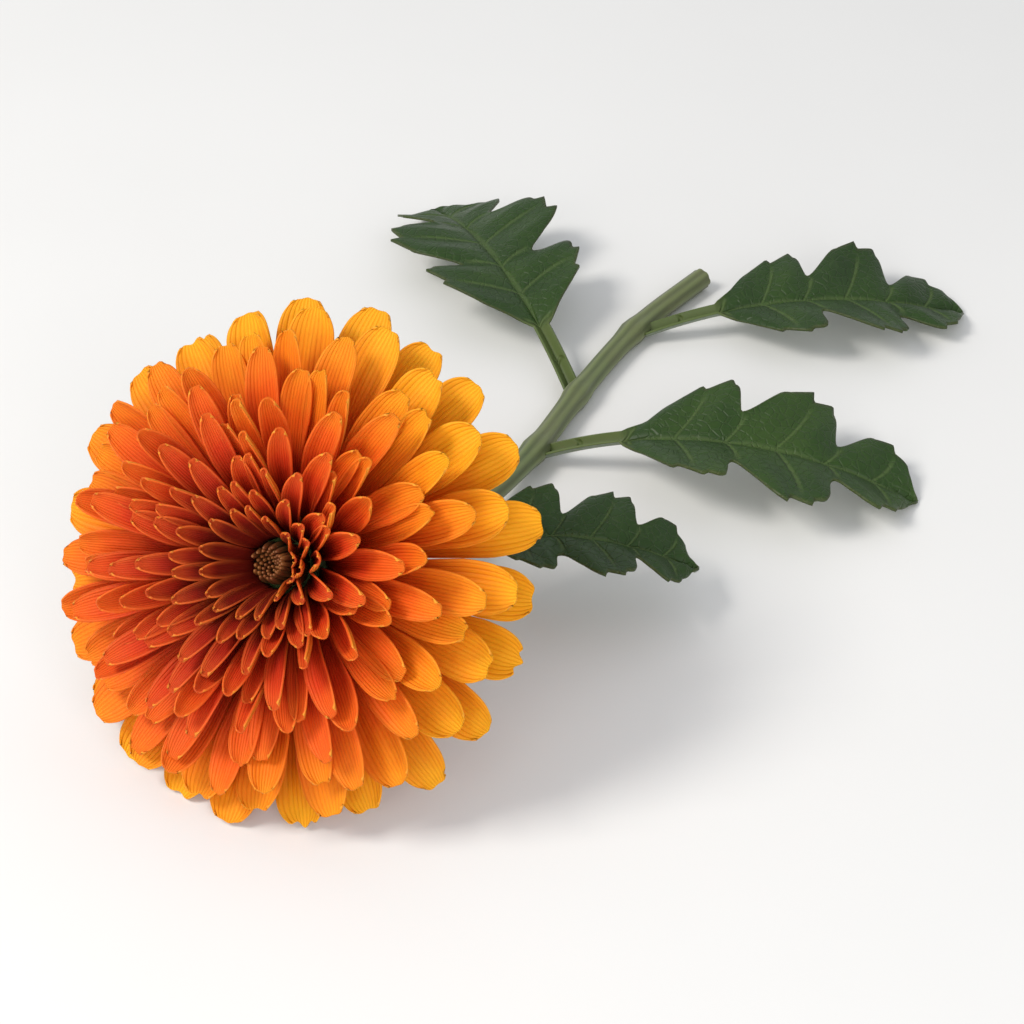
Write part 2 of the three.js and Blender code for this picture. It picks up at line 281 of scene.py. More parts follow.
def petal_back():
    """The reverse: plain gold, browner at the foot, with stronger ribs."""
    finish = Finish("petal_back")
    across = finish.attribute("across")
    along = finish.attribute("along")
    depth = finish.attribute("depth")
    tone = finish.attribute("tone")
    mottle = finish.noise(380.0) - 0.5
    ribs = veins(finish, across, 7)
    warmth = along * 0.85 - depth * 0.42 + tone * 0.08 + mottle * 0.2 + 0.12
    stops = [
        (0.0, (0.300, 0.075, 0.012)),
        (0.25, (0.520, 0.120, 0.012)),
        (0.6, (0.740, 0.200, 0.014)),
        (1.0, (0.880, 0.360, 0.022)),
    ]
    body = finish.ramp(warmth, stops)
    ribbed = finish.mix(ribs * 0.3, body, finish.mix(1.0, body, (0.7, 0.5, 0.4), "MULTIPLY"))
    return finish.surface(
        Base_Color=ribbed,
        Roughness=0.58,
        Specular_IOR_Level=0.3,
        Subsurface_Weight=0.18,
        Subsurface_Radius=PETAL_GLOW,
        Subsurface_Scale=0.0012,
        Normal=finish.bump(ribs * -0.8 + mottle * 0.3, 0.00015),
    )


face_material = petal_face()
back_material = petal_back()
print("petal materials:", face_material.name, back_material.name)

# %% [markdown]
# ## The rows of petals
# All petals of a row follow the same arc: it leaves the cushion at one lean from the axis and ends at a
# wider one. Written that way, one row is one shell, and the nine shells nest without touching. The same
# table made the plain slabs, so each fine petal covers its own slab.

# %% Rows and arcs
class Row(NamedTuple):
    count: int
    length: float
    width: float
    lean_foot: float
    lean_tip: float
    cup: float
    press: float


ROWS = [
    Row(23, 21.0, 5.5, 82, 106, 0.12, 28),
    Row(21, 20.4, 5.4, 72, 96, 0.16, 20),
    Row(26, 19.3, 4.0, 62, 87, 0.26, 11),
    Row(27, 17.8, 3.3, 52, 78, 0.38, 5),
    Row(27, 16.1, 2.8, 42, 67, 0.50, 0),
    Row(25, 14.4, 2.4, 34, 58, 0.55, 0),
    Row(22, 12.4, 2.1, 26, 49, 0.60, 0),
    Row(18, 10.3, 1.8, 19, 40, 0.60, 0),
    Row(14, 8.0, 1.6, 13, 32, 0.60, 0),
]
SEPARATE_ROWS = 2
OUTER_FOOT_RADIUS = 6.7
INNER_FOOT_RADIUS = 2.6
FOOT_LIFT = 0.75
PRESS_SPREAD = 38
TABLE_CLEARANCE = 0.00012
# Painted light: petals towards this side of the head are painted lighter and more golden, as if lit.
PAINTED_LIT_SIDE = 62
ROW_WILDNESS = [0.0, 0.0, 0.7, 1.0, 1.25, 1.25, 1.0, 0.6, 0.35]
LOWEST_SIDE = -90


def mix(a, b, share):
    return a + (b - a) * share


def clamp01(x):
    return min(max(x, 0.0), 1.0)


def arc_point(v, length, a, b):
    """How far out and up an arc has come at v, and its lean there."""
    turn = b - a
    lean = a + turn * v
    out = length * (math.cos(a) - math.cos(lean)) / turn
    up = length * (math.sin(lean) - math.sin(a)) / turn
    return out, up, lean


def cushion_height(r):
    return RECEPTACLE_RISE * (1 - (r / RECEPTACLE_RADIUS) ** 2)


def foot_radius(k):
    return mix(OUTER_FOOT_RADIUS, INNER_FOOT_RADIUS, k / (len(ROWS) - 1))


print("petals:", sum(row.count for row in ROWS))

# %% [markdown]
# ## Small differences
# Petals that are all alike look stamped, so their figures stray a little. Random draws would depend on
# their order. Here each stray figure comes from the piece's number, its row and the kind of figure, by
# steps that never fall into line, so it stays the same however the script is rearranged. Within one piece
# no two of its measures share a kind.

# %% Scatter
SCATTER_STEPS = (0.7548776662, 0.5698402910, 0.4142135624)
KINDS = {
    "turn": 0,
    "lean": 1,
    "length": 2,
    "twist": 3,
    "sway": 4,
    "curl": 5,
    "notch": 6,
    "phase": 7,
    "tone": 8,
    "width": 9,
    "wild curl": 10,
    "teeth": 11,
    "floret": 9,
    "bract lean": 10,
    "bract length": 11,
    "bract tone": 12,
    "leaf tone": 13,
    "leaf tooth": 14,
}


def scatter(i, row, kind):
    """An even, repeatable spread between -1 and 1."""
    steps = zip((i, row, KINDS[kind]), SCATTER_STEPS)
    x = sum((number + 1) * step for number, step in steps)
    return 2 * (x % 1.0) - 1


print("kinds of scatter:", len(KINDS))

# %% [markdown]
# ## A petal's figures
# Pairs of numbers that are called a spread say how far a figure may stray: the first on a calm petal, the
# second added by the wildness of its row. The other pairs run from the outermost row to the innermost
# one, except the channel's, which runs from foot to tip. Turns, leans and twists are in degrees, and
# sway, curl and the widest foot in millimetres. The rest are shares of the petal's own length or width.

# %% Petal figures
WIDEST_AT = (0.74, 0.62)
TIP_POWER = (3.4, 2.2)
TIP_BLUNTNESS = (0.72, 0.95)
RIM_RIPPLE = (0.11, 0.03)
CHANNEL_SHARE = (1.25, 0.8)
EVEN_TURN = 0.3
TURN_SPREAD = (2.0, 2.0)
LEAN_SPREAD = (2.5, 4.5)
LENGTH_SPREAD = (0.03, 0.04)
WIDTH_SPREAD = (0.0, 0.10)
TWIST_SPREAD = (8, 16)
SWAY_SPREAD = (0.5, 0.9)
TONE_SPREAD = 0.55
# How strongly that side of the head is painted lighter and more golden, as painted light.
PAINTED_SIDE_LIGHT = 0.9
CURL = 0.5
WILD_CURL = 0.9
WILD_LIFT = 0.5
CURL_START = 0.55
FULL_LENGTH = 21
PRESSED_FOOT = 0.25
FOOT_SHARE = 0.72
WIDEST_FOOT = 1.3
NOTCH_DEPTH = 0.034
TIP_ROUNDING = 0.034
TIP_START = 0.7
SPOON = 0.16
SPOON_START = 0.78
MIDDLE_RIDGE = 0.06
RIPPLES = 9


def spread(figures, wild):
    """How far a figure may stray: the first number on a calm petal, the second added by wildness."""
    calm, added = figures
    return calm + added * wild


print("a wild petal may turn by", spread(TURN_SPREAD, max(ROW_WILDNESS)), "degrees")

# %% [markdown]
# ## One petal
# A petal of this kind is a strap with raised rims: nearly a tube at its foot, a channel along its middle
# and a flat or slightly spooned blade at its tip, which ends bluntly in two or three shallow teeth. It
# starts as a flat grid, because a grid gives even, ordered faces along the petal, and each vertex is then
# moved by a formula. The Solidify modifier gives it its thickness, and puts the reverse's finish on the
# far side.

# %% The shape of a petal
class Petal:
    """The figures of petal i in row k, and the place of any point on it in the head's frame."""

    def __init__(self, k, i):
        row = ROWS[k]
        wild = ROW_WILDNESS[k]
        pitch = 360 / row.count
        loose = EVEN_TURN if k < SEPARATE_ROWS else spread(TURN_SPREAD, wild)
        azimuth = pitch * (i + 0.5 * (k % 2)) + loose * scatter(i, k, "turn") + LOWEST_SIDE + pitch / 2
        from_lowest = (azimuth - LOWEST_SIDE + 180) % 360 - 180
        pressed = row.press * math.exp(-((from_lowest / PRESS_SPREAD) ** 2))
        lean_tip = row.lean_tip - pressed + spread(LEAN_SPREAD, wild) * scatter(i, k, "lean")
        tip_curl = CURL * scatter(i, k, "curl") + WILD_CURL * wild * scatter(i, k, "wild curl")
        self.depth = k / (len(ROWS) - 1)
        self.lean_foot = math.radians(row.lean_foot - PRESSED_FOOT * pressed)
        self.lean_tip = math.radians(lean_tip)
        self.length = row.length * (1 + spread(LENGTH_SPREAD, wild) * scatter(i, k, "length"))
        self.radial = Vector((math.cos(math.radians(azimuth)), math.sin(math.radians(azimuth)), 0))
        self.side = Vector((self.radial.y, -self.radial.x, 0))
        self.foot_out = foot_radius(k)
        self.foot_up = cushion_height(self.foot_out) + FOOT_LIFT
        self.foot_width = min(FOOT_SHARE * 2 * math.pi * self.foot_out / row.count, WIDEST_FOOT)
        self.width = row.width * (1 + spread(WIDTH_SPREAD, wild) * scatter(i, k, "width"))
        self.channel = 2 * math.atan(row.cup)
        self.twist = math.radians(spread(TWIST_SPREAD, wild)) * scatter(i, k, "twist")
        self.sway = spread(SWAY_SPREAD, wild) * scatter(i, k, "sway") * self.length / FULL_LENGTH
        self.tip_curl = (tip_curl + WILD_LIFT * wild) * self.length / FULL_LENGTH
        self.notch = NOTCH_DEPTH * max(scatter(i, k, "notch"), 0.25) * (1 - 0.7 * self.depth)
        self.teeth = 2 if scatter(i, k, "teeth") > 0 else 3
        self.phase = math.pi * scatter(i, k, "phase")
        self.ripple = mix(*RIM_RIPPLE, self.depth)
        self.blunt = mix(*TIP_BLUNTNESS, self.depth)
        # The tone holds a random spread and painted light, which makes one side of the head lighter and
        # more golden.
        lit_side_turn = math.radians(azimuth - PAINTED_LIT_SIDE)
        self.tone = TONE_SPREAD * scatter(i, k, "tone") + PAINTED_SIDE_LIGHT * math.cos(lit_side_turn)

    def half_width(self, v):
        widest = mix(*WIDEST_AT, self.depth)
        if v < widest:
            return mix(self.foot_width, self.width, (v / widest) ** 1.1) / 2
        past = (v - widest) / (1 - widest)
        return self.width * math.sqrt(1 - self.blunt * past ** mix(*TIP_POWER, self.depth)) / 2

    def tip_shortening(self, u, v):
        """How much shorter the petal is at u: its round end, and the shallow teeth there."""
        if self.teeth == 2:
            dip = 0.5 + 0.5 * math.cos(2 * math.pi * u * 0.55)
        else:
            dip = 0.5 - 0.5 * math.cos(2 * math.pi * u)
        near_tip = clamp01((v - TIP_START) / (1 - TIP_START)) ** 2
        return (self.notch * dip + TIP_ROUNDING * u**4) * near_tip

    def point(self, u, v):
        half = self.half_width(v)
        reached = v - self.tip_shortening(u, v)
        out, up, lean = arc_point(reached, self.length, self.lean_foot, self.lean_tip)
        bend = self.channel * mix(*CHANNEL_SHARE, clamp01(v * 1.1))
        across = half * math.sin(u * bend) / math.sin(bend)
        channel = half * (1 - math.cos(u * bend)) / math.sin(bend)
        spoon = SPOON * half * u * u * clamp01((v - SPOON_START) * 5)
        ridge = MIDDLE_RIDGE * half * math.cos(2 * math.pi * u) * clamp01(v * 3) * clamp01((1 - v) * 5)
        ripple = self.ripple * half * abs(u) ** 3 * math.sin(RIPPLES * v + self.phase) * clamp01(v * 2)
        curl = self.tip_curl * clamp01((v - CURL_START) / (1 - CURL_START)) ** 2
        roll = self.twist * v
        hollow = (channel + spoon + ridge + ripple) * clamp01(v * 4)
        lift = hollow * math.cos(roll) + curl + across * math.sin(roll)
        place = self.radial * (self.foot_out + out - lift * math.cos(lean))
        place += self.side * (across * math.cos(roll) - hollow * math.sin(roll) + self.sway * v * v)
        place.z = self.foot_up + up + lift * math.sin(lean)
        return place


def onto_table(place):
    """A point of the head in the flower's frame, kept above the table."""
    world = head_matrix @ place
    world.z = max(world.z, TABLE_CLEARANCE)
    return world


print("petal 1 reaches", [round(x, 1) for x in Petal(0, 0).point(0, 1)])

# %% [markdown]
# ## From shape to object
# Every leaf-like piece here goes the same way, so it is written once: grids are added to a bmesh, each
# vertex is moved and given its numbers, and the mesh becomes an object that rides on the flower's one
# body and stands for its plain solid.

# %% Making grids and objects
NUMBERS = ["across", "along", "depth", "tone"]


def new_sheet():
    bm = bmesh.new()
    for name in NUMBERS:
        bm.verts.layers.float.new(name)
    return bm


def add_grid(bm, cells_across, cells_along, place, depth=0.0, tone=0.0, crowding=1.0):
    """Adds a grid and moves each vertex to place(u, v), u from -1 to 1 and v from 0 to 1.

    Crowding above 1 draws the cross lines together towards v = 1.
    """
    layers = {name: bm.verts.layers.float[name] for name in NUMBERS}
    made = bmesh.ops.create_grid(bm, x_segments=cells_across, y_segments=cells_along, size=1.0)
    for vertex in made["verts"]:
        u = vertex.co.x
        v = 1 - ((1 - vertex.co.y) / 2) ** crowding
        vertex[layers["across"]] = u
        vertex[layers["along"]] = v
        vertex[layers["depth"]] = depth
        vertex[layers["tone"]] = tone
        vertex.co = place(u, v)
    return made["verts"]


def finish_piece(bm, name, nodes, materials):
    for face in bm.faces:
        face.smooth = True
    mesh = bpy.data.meshes.new(name)
    bm.to_mesh(mesh)
    bm.free()
    piece = bpy.data.objects.new(name, mesh)
    bpy.context.scene.collection.objects.link(piece)
    for material in materials:
        mesh.materials.append(material)
    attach(piece, "root")
    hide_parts(*nodes)
    return piece


def thicken(piece, thickness):
    """Gives a sheet its thickness on its far side, with the second finish there."""
    solidify = piece.modifiers.new("thickness", "SOLIDIFY")
    solidify.thickness = thickness
    solidify.offset = -1.0
    solidify.material_offset = 1
    solidify.material_offset_rim = 0


print("grid and object helpers ready")

# %% [markdown]
# ## All the petals
# The two outer rows are separate pieces, one for each petal, because those are the ones that come off
# first. Each inner row is one piece. Petals near the middle are small, so they get fewer faces.

# %% Petals
PETAL_THICKNESS = 0.18 * MM
TIP_CROWDING = 1.5
OUTER_CELLS = (14, 28)
INNER_CELLS = [(10, 22), (10, 22), (10, 22), (10, 22), (10, 14), (8, 14), (8, 14)]
petal_finishes = [face_material, back_material]


def add_petal(bm, k, i, cells):
    petal = Petal(k, i)

    def place(u, v):
        return onto_table(petal.point(u, v))

    add_grid(bm, *cells, place, petal.depth, petal.tone, TIP_CROWDING)


petal_pieces = []
for k, row in enumerate(ROWS):
    if k < SEPARATE_ROWS:
        for i in range(row.count):
            bm = new_sheet()
            add_petal(bm, k, i, OUTER_CELLS)
            label = f"{i + 1:02d}"
            node = ("outer_petal_", "second_petal_")[k] + label
            name = ("outer_ray_", "second_ray_")[k] + label
            petal_pieces.append(finish_piece(bm, name, [node], petal_finishes))
    else:
        bm = new_sheet()
        for i in range(row.count):
            add_petal(bm, k, i, INNER_CELLS[k - SEPARATE_ROWS])
        name = f"ray_row_{k + 1}"
        node = f"petal_row_{k + 1}"
        petal_pieces.append(finish_piece(bm, name, [node], petal_finishes))
for piece in petal_pieces:
    thicken(piece, PETAL_THICKNESS)
print("petal pieces:", len(petal_pieces))

# %% [markdown]
# ## The heart
# In the pit in the middle the youngest florets are still closed. They are tiny stout fingers, olive at
# the foot and reddish brown at the tip, the outer ones bending in over the inner ones. Each starts as a
# small sphere that is drawn out, and they are set by the golden angle, the way that the plant sets them.

# %% Closed florets
FLORETS = 55
GOLDEN_ANGLE = math.radians(137.50776)
HEART_RADIUS = 2.25
FLORET_HEIGHT = (1.5, 3.2)
FLORET_THICKNESS = (0.24, 0.34)
FLORET_LEAN = (0.05, 0.6)
FLORET_FOOT_SHARE = 0.75
FLORET_TIP_SHARE = 1.1
FLORET_SINK = 0.1


def heart_finish():
    finish = Finish("closed_florets")
    along = finish.attribute("along")
    tone = finish.attribute("tone")
    mottle = finish.noise(900.0) - 0.5
    stops = [
        (0.0, (0.035, 0.034, 0.008)),
        (0.45, (0.090, 0.048, 0.010)),
        (0.8, (0.150, 0.040, 0.008)),
        (1.0, (0.260, 0.090, 0.018)),
    ]
    colour = finish.ramp(along + tone * 0.12 + mottle * 0.25, stops)
    return finish.surface(
        Base_Color=colour,
        Roughness=0.6,
        Subsurface_Weight=0.15,
        Subsurface_Radius=PETAL_GLOW,
        Subsurface_Scale=0.0008,
        Normal=finish.bump(mottle, 0.0001),
    )


def add_floret(bm, i):
    """A closed floret: a drawn-out sphere whose top bends towards the axis."""
    layers = {name: bm.verts.layers.float[name] for name in NUMBERS}
    share = math.sqrt((i + 0.5) / FLORETS)
    radius = HEART_RADIUS * share
    angle = i * GOLDEN_ANGLE
    radial = Vector((math.cos(angle), math.sin(angle), 0))
    tall = mix(*FLORET_HEIGHT, share**1.5) * (1 + 0.12 * scatter(i, 0, "floret"))
    thick = mix(*FLORET_THICKNESS, share)
    lean_in = mix(*FLORET_LEAN, share)
    made = bmesh.ops.create_uvsphere(bm, u_segments=8, v_segments=7, radius=1.0)
    for vertex in made["verts"]:
        v = (vertex.co.z + 1) / 2
        swell = thick * mix(FLORET_FOOT_SHARE, FLORET_TIP_SHARE, v)
        local = Vector((vertex.co.x * swell, vertex.co.y * swell, HEART_FOOT - FLORET_SINK + tall * v))
        vertex[layers["along"]] = v
        vertex[layers["tone"]] = scatter(i, 1, "floret")
        vertex.co = head_matrix @ (local + radial * (radius - lean_in * v * v))


bm = new_sheet()
for i in range(FLORETS):
    add_floret(bm, i)
finish_piece(bm, "closed_florets", ["heart"], [heart_finish()])
print("florets:", FLORETS)

# %% [markdown]
# ## Greens
# The stem, the bracts and the leaves share one family of greens, but each has its own surface. Bracts are
# dull with a dry, papery edge. The stem is ribbed, with pale ribs and darker grooves, and browner where
# it was cut. A leaf is satin and dark above, with a sunken net of veins, and grey-green and dull below.

# %% Bract finish
def bract_finish():
    finish = Finish("bract_green")
    across = finish.attribute("across")
    along = finish.attribute("along")
    mottle = finish.noise(600.0) - 0.5
    keel = abs(across).between(0.35, 0.0)
    edge = abs(across).between(0.7, 1.0)
    stops = [(0.0, (0.055, 0.092, 0.016)), (0.6, (0.115, 0.160, 0.028)), (1.0, (0.200, 0.190, 0.050))]
    body = finish.ramp(along + mottle * 0.5, stops)
    keeled = finish.mix(keel * 0.4, body, (0.045, 0.085, 0.020))
    edged = finish.mix(edge * 0.75, keeled, (0.300, 0.240, 0.110))
    return finish.surface(
        Base_Color=edged,
        Roughness=0.7,
        Sheen_Weight=0.06,
        Normal=finish.bump(mottle, 0.00015),
    )


bract_material = bract_finish()
print("finish:", bract_material.name)

# %% [markdown]
# ## The stem's finish
# The ribs' colour goes round the stem with the same count as the ribs of its shape. The grain is a noise
# that is stretched along the stem, and brown patches gather towards the cut.

# %% Stem finish
STEM_RIBS = 7


def stem_finish():
    finish = Finish("stem_green")
    around = finish.attribute("across")
    along = finish.attribute("along")
    ribs = (around * (math.pi * STEM_RIBS)).cosine() * 0.5 + 0.5
    long_grain = finish.add("Mapping", {}, {"Vector": finish.place(), "Scale": (1.0, 0.12, 1.0)})
    grain = finish.noise(1400.0, 4.0, long_grain) - 0.5
    patches = finish.noise(90.0) - 0.5
    body = finish.mix(ribs, (0.060, 0.088, 0.024), (0.140, 0.185, 0.058))
    aged = finish.mix((patches * 1.4 + along * 0.5 - 0.12).clamped() * 0.6, body, (0.125, 0.080, 0.034))
    grained = finish.mix((grain * 1.6 + 0.35).clamped() * 0.3, aged, (0.230, 0.260, 0.120))
    return finish.surface(
        Base_Color=grained,
        Roughness=0.58,
        Sheen_Weight=0.15,
        Normal=finish.bump(grain, 0.00012),
    )


def cut_finish():
    """The cut end: pale pith inside a greener, drier ring."""
    finish = Finish("cut_pith")
    speck = finish.noise(2500.0) - 0.5
    colour = finish.mix((speck * 1.5 + 0.5).clamped() * 0.6, (0.420, 0.390, 0.210), (0.260, 0.240, 0.105))
    return finish.surface(Base_Color=colour, Roughness=0.8, Normal=finish.bump(speck, 0.0001))


stem_materials = [stem_finish(), cut_finish()]
print("finishes:", [material.name for material in stem_materials])

# %% [markdown]
# ## Bracts
# Two rows of narrow green scales hold the head from behind. They are made like petals, but they are
# pointed and keeled, and those of the outer row are a little longer and narrower.

# %% Bracts
class BractRow(NamedTuple):
    name: str
    node: str
    count: int
    foot: float
    drop: float
    length: float
    width: float
    lean_foot: float
    lean_tip: float


BRACT_ROWS = [
    BractRow("bracts_inner", "inner_bracts", 13, 6.4, 1.55, 6.0, 2.5, 52, 84),
    BractRow("bracts_outer", "outer_bracts", 11, 5.2, 3.1, 6.4, 2.3, 62, 98),
]
BRACT_THICKNESS = 0.3 * MM
BRACT_CELLS = (8, 10)
BRACT_POINT = 2.2
BRACT_EDGE = 0.03
BRACT_RIM_LIFT = 0.16
BRACT_KEEL = 0.12


def add_bract(bm, row, k, i):
    azimuth = math.radians(360 / row.count * i)
    radial = Vector((math.cos(azimuth), math.sin(azimuth), 0))
    side = Vector((radial.y, -radial.x, 0))
    a = math.radians(row.lean_foot)
    b = math.radians(row.lean_tip + 4 * scatter(i, k, "bract lean"))
    length = row.length * (1 + 0.06 * scatter(i, k, "bract length"))

    def place(u, v):
        out, up, lean = arc_point(v, length, a, b)
        half = row.width / 2 * math.sqrt(max(1 - v**BRACT_POINT, 0.0)) * mix(1.0, 0.8, v) + BRACT_EDGE
        lift = BRACT_RIM_LIFT * half * u * u - BRACT_KEEL * half * (1 - abs(u)) ** 2
        point = radial * (row.foot + out - lift * math.cos(lean)) + side * (u * half)
        point.z = -row.drop + up + lift * math.sin(lean)
        return head_matrix @ point

    add_grid(bm, *BRACT_CELLS, place, 0.0, scatter(i, k, "bract tone"))


for k, row in enumerate(BRACT_ROWS):
    bm = new_sheet()
    for i in range(row.count):
        add_bract(bm, row, k, i)
    piece = finish_piece(bm, row.name, [row.node], [bract_material, bract_material])
    thicken(piece, BRACT_THICKNESS)
print("bracts:", [row.count for row in BRACT_ROWS])

# %% [markdown]
# ## The stem's line
# The plain stem is a tube along a bent line. The fine one has to follow it, so the line is measured: a
# copy of the tube is cut by a row of upright planes, and the middle of each cut is a point of the line.
# Close to the head the line is simply the head's axis, and the last stretch is drawn on straight, because
# the tube's end isn't quite upright and an upright plane there would cut only half of it.

# %% Measuring the stem's line
STEM_RADIUS = 1.45
NECK_LENGTH = 4.5
AXIS_POINTS = [-0.6, -1.2, -1.8, -2.4, -3.0, -3.6, -4.2, -5.0, -6.0, -7.2, -8.6, -10.0]
CUTS = 60
FIRST_CUT_GAP = 1.5
END_MARGIN = 1.4
END_SLANT = 0.4
SMOOTHINGS = 2


def cut_middle(source, y):
    """The middle of the stem's cross-section at y."""
    bm = source.copy()
    everything = bm.verts[:] + bm.edges[:] + bm.faces[:]
    cut = bmesh.ops.bisect_plane(bm, geom=everything, plane_co=(0, y, 0), plane_no=(0, 1, 0))
    corners = [part.co.copy() for part in cut["geom_cut"] if isinstance(part, bmesh.types.BMVert)]
    bm.free()
    return Vector((middle([c.x for c in corners]), y, middle([c.z for c in corners])))


stem_solid = bmesh.new()
stem_solid.from_mesh(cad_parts["stem"].data)
bmesh.ops.remove_doubles(stem_solid, verts=stem_solid.verts[:], dist=1e-6)
stem_line = [head_matrix @ Vector((0, 0, z)) for z in AXIS_POINTS]
first_cut = stem_line[-1].y + FIRST_CUT_GAP * MM
last_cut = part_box("stem")[1][1] - END_MARGIN * MM
for step in range(CUTS + 1):
    stem_line.append(cut_middle(stem_solid, mix(first_cut, last_cut, step / CUTS)))
stem_solid.free()
for _ in range(SMOOTHINGS):
    inner = zip(stem_line, stem_line[1:], stem_line[2:])
    stem_line[1:-1] = [(a + b * 2 + c) / 4 for a, b, c in inner]
last_direction = (stem_line[-1] - stem_line[-3]).normalized()
stem_line.append(stem_line[-1] + last_direction * ((END_MARGIN - END_SLANT) * MM))
print("stem line:", len(stem_line), "points, from", [round(x, 4) for x in stem_line[0]])

# %% [markdown]
# ## The leaves' figures
# A leaf is described by where its stalk leaves the stem, which way it points, and how much it droops.
# Leaves that rest on the table droop until their tips touch it. That angle has no short formula, so it is
# found by halving, on the same coarse net of points that the plain leaf has.

# %% Leaves: figures
class Leaf(NamedTuple):
    name: str
    node: str
    at: float
    heading: float
    blade: float
    stalk: float
    half: float
    rise: float
    droop: float | None


LEAVES = [
    Leaf("foliage_top", "leaf_top", 0.20, 62, 26, 6, 6.6, 24, 30),
    Leaf("foliage_left", "leaf_left", 0.33, -74, 32, 8, 8.2, 14, None),
    Leaf("foliage_right", "leaf_right", 0.52, 70, 37, 9, 9.4, 24, None),
    Leaf("foliage_back", "leaf_back", 0.66, -52, 40, 10, 10.2, 22, None),
    Leaf("foliage_low", "leaf_low", 0.83, 52, 34, 9, 9.0, 18, None),
]
SOLID_LEAF_THICKNESS = 0.6
LEAF_GAP = 0.6
LEAF_FOLD = 0.16
STALK_HALF_WIDTH = 0.9
BLADE_SPREAD = 1.25
BROADEST_SHIFT = 0.75
LOBES = 3
FIRST_LOBE = 0.17
SOLID_LOBE_MEAN = 0.74
SOLID_LOBE_SWING = 0.26
MOST_DROOP = 85.0
HALVINGS = 16
VEIN_SLANT = math.radians(52)
COARSE_ALONG = 17
CURVE_START = 1.5 - NECK_LENGTH


def solid_half_width(v, half):
    """Half the width of the plain leaf's blade."""
    if not 0 < v < 1:
        return 0.0
    outline = math.sin(math.pi * v**BROADEST_SHIFT) ** 0.7
    lobe = SOLID_LOBE_MEAN + SOLID_LOBE_SWING * math.cos(2 * math.pi * LOBES * (v - FIRST_LOBE))
    return half * BLADE_SPREAD * outline * lobe


def line_point(share):
    """The point at a share of the stem's length, counted as the plain stem's own line counts it."""
    start = head_matrix @ Vector((0, 0, CURVE_START))
    line = [start] + [p for p in stem_line if p.y > start.y]
    lengths = [(b - a).length for a, b in zip(line, line[1:])]
    left = share * sum(lengths)
    for a, b, length in zip(line, line[1:], lengths):
        if left <= length:
            return a.lerp(b, left / length) / MM
        left -= length
    return line[-1] / MM


class LeafShape:
    """The frame of one leaf: its start on the stem, its heading and its droop."""

    def __init__(self, leaf):
        heading = math.radians(leaf.heading)
        self.leaf = leaf
        self.forward = Vector((math.sin(heading), math.cos(heading), 0))
        self.side = Vector((self.forward.y, -self.forward.x, 0))
        self.long = leaf.stalk + leaf.blade
        self.stalk_share = leaf.stalk / self.long
        self.start = line_point(leaf.at) + self.forward * ((STEM_RADIUS + LEAF_GAP) / abs(self.forward.x))
        self.droop = leaf.droop if leaf.droop is not None else self.resting_droop()

    def bend(self, v, lift, droop):
        """A point of the midrib at v, raised by lift along the leaf's upward normal."""
        a = math.radians(90 - self.leaf.rise)
        b = math.radians(90 + droop)
        out, up, lean = arc_point(v, self.long, a, b)
        point = self.start + self.forward * (out - lift * math.cos(lean))
        point.z += up + lift * math.sin(lean)
        return point

    def slide(self, u, blade_half):
        """How far along the leaf a side vein has run when it is at u."""
        return blade_half * abs(u) * math.cos(VEIN_SLANT) * 0.6 / self.long

    def under_point(self, u, v, droop):
        """A point on the plain leaf's underside."""
        on_blade = (v - self.stalk_share) / (1 - self.stalk_share)
        blade_half = solid_half_width(on_blade, self.leaf.half)
        across = STALK_HALF_WIDTH * clamp01(1.4 - v) + blade_half
        thickness = SOLID_LEAF_THICKNESS * (1 if on_blade > 0 else 2)
        lift = LEAF_FOLD * across * abs(u) - thickness / 2
        return self.bend(v + self.slide(u, blade_half), lift, droop)

    def lowest(self, droop):
        corners = [(u, step / COARSE_ALONG) for u in (0, 0.5, 1) for step in range(COARSE_ALONG + 1)]
        return min(self.under_point(u, v, droop).z for u, v in corners)

    def resting_droop(self):
        least = 0.0
        most = MOST_DROOP
        for _ in range(HALVINGS):
            droop = (least + most) / 2
            if self.lowest(droop) > 0:
                least = droop
            else:
                most = droop
        return least


leaf_shapes = [LeafShape(leaf) for leaf in LEAVES]
print("droops:", [round(shape.droop, 1) for shape in leaf_shapes])

# %% [markdown]
# ## The stem
# The stem is a grid rolled round the line: its width goes round and its length goes along. Seven ribs run
# down it, it swells a little where each leaf stalk leaves it, and it flares into the cushion under the
# petals. The seam is closed by merging, the open ends are filled, and the cut end is inset so that the
# pith sits inside a raised rim.

# %% Stem
STEM_SIDES = 42
NODE_SWELL = 0.32
NODE_REACH = 1.9
RIB_DEPTH = 0.09
FLARE = 4.15
FLARE_START = -4.9
FLARE_LENGTH = 4.0
CUT_INSETS = [(0.25, 0.0), (0.12, -0.18)]


def neck_radius(z):
    """The stem's radius on the head's axis, z below the cushion's rim."""
    share = clamp01((z - FLARE_START) / FLARE_LENGTH)
    return STEM_RADIUS + FLARE * share * share * (3 - 2 * share)


def stem_radius(place, z):
    radius = neck_radius(z) if z is not None else STEM_RADIUS
    for shape in leaf_shapes:
        root = line_point(shape.leaf.at) * MM
        distance = (place - root).length / MM
        radius += NODE_SWELL * math.exp(-((distance / NODE_REACH) ** 2))
    return radius


def tube_frames(line):
    """The middle, the sideways direction and the upward direction at each point of a line."""
    frames = []
    for index, point in enumerate(line):
        before = line[max(index - 1, 0)]
        after = line[min(index + 1, len(line) - 1)]
        direction = (after - before).normalized()
        sideways = (Vector((1, 0, 0)) - direction * direction.x).normalized()
        frames.append((point, sideways, direction.cross(sideways)))
    return frames


